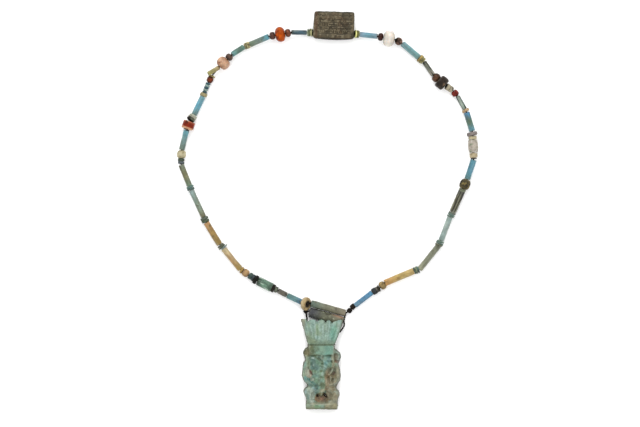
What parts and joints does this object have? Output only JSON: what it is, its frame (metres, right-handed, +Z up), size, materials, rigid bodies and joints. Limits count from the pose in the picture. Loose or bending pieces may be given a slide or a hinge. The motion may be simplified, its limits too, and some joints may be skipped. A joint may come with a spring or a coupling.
{
  "type": "bead necklace with bes figure pendant",
  "caption": "Strung necklace laid flat in a ring: tube, disc and round beads on a thread, a carved plaque at one end and a carved standing bes figure hanging at the other.",
  "frame": {"origin": "on the surface that it lies on, under the middle of its bounding box", "axes": "+Z up, away from that surface; +Y from the figure's feet towards the plaque; +X to the right when the figure is upright and faces the viewer"},
  "size_m": [0.1506, 0.199, 0.0094],
  "materials": {
    "figure_faience": "worn pale turquoise faience, brown where the glaze is gone",
    "blue_faience": "worn satin blue glaze with pale scratches",
    "teal_faience": "worn dull teal glaze",
    "pale_faience": "faded pale green and grey-blue glaze",
    "olive_faience": "dull olive and grey-green glaze, brown in patches",
    "sand_faience": "bleached sand and ochre body, glaze lost",
    "cream_faience": "matt cream body with grey-green specks",
    "dark_faience": "dark brown and black, dull, with grey scratches",
    "green_glaze": "glossy streaked green glaze",
    "carnelian": "polished translucent orange to red stone",
    "white_stone": "polished cloudy white stone",
    "pink_stone": "satin pinkish-beige stone",
    "dark_stone": "satin dark red-brown stone",
    "steatite": "dull dark grey-brown carved stone, worn pale on its edges",
    "thread": "black twisted thread"
  },
  "bodies": {
    "root": {"teal_tube_1": "teal_faience", "grey_brown_tube": "olive_faience", "green_glazed_cylinder": "green_glaze", "black_disc_group": "dark_faience", "beige_round_bead": "sand_faience", "sand_tube": "sand_faience", "teal_disc_group_1": "teal_faience", "brown_tube": "sand_faience", "teal_disc_group_2": "teal_faience", "pale_green_tube": "pale_faience", "teal_disc_group_3": "teal_faience", "olive_tube_1": "olive_faience", "cream_round_bead": "cream_faience", "blue_tube_1": "blue_faience", "red_cylinder_bead": "carnelian", "mottled_disc_group": "pale_faience", "blue_tube_2": "blue_faience", "striped_disc_group": "teal_faience", "dark_red_round_bead": "dark_stone", "olive_tube_2": "olive_faience", "pink_round_bead": "pink_stone", "teal_tube_2": "teal_faience", "cream_disc_group": "cream_faience", "green_blue_tube": "teal_faience", "orange_round_bead": "carnelian", "dark_blue_tube": "blue_faience", "olive_disc_group_1": "olive_faience", "carved_plaque": "steatite", "olive_disc_group_2": "olive_faience", "light_blue_tube": "blue_faience", "white_round_bead": "white_stone", "dark_round_bead_1": "dark_stone", "blue_tube_3": "blue_faience", "ochre_disc_group": "sand_faience", "grey_green_tube_1": "pale_faience", "black_cylinder_bead": "dark_faience", "cream_bead_pair": "cream_faience", "red_round_bead": "carnelian", "grey_green_tube_2": "pale_faience", "ochre_disc": "sand_faience", "blue_tube_4": "blue_faience", "mottled_barrel_bead": "cream_faience", "blue_tube_5": "blue_faience", "dark_ribbed_bead": "dark_faience", "dark_mottled_tube": "dark_faience", "teal_disc_group_4": "teal_faience", "pale_blue_tube": "pale_faience", "teal_disc_group_5": "teal_faience", "olive_tube_3": "olive_faience", "teal_disc_group_6": "teal_faience", "ochre_tube": "sand_faience", "ochre_round_bead": "sand_faience", "grey_disc_group": "olive_faience", "bright_blue_tube": "blue_faience", "bes_figure": "figure_faience", "upper_spacer_tube": "olive_faience", "lower_spacer_tube": "olive_faience", "cream_ring_bead": "cream_faience", "stringing_thread": "thread"}
  },
  "joints": []
}
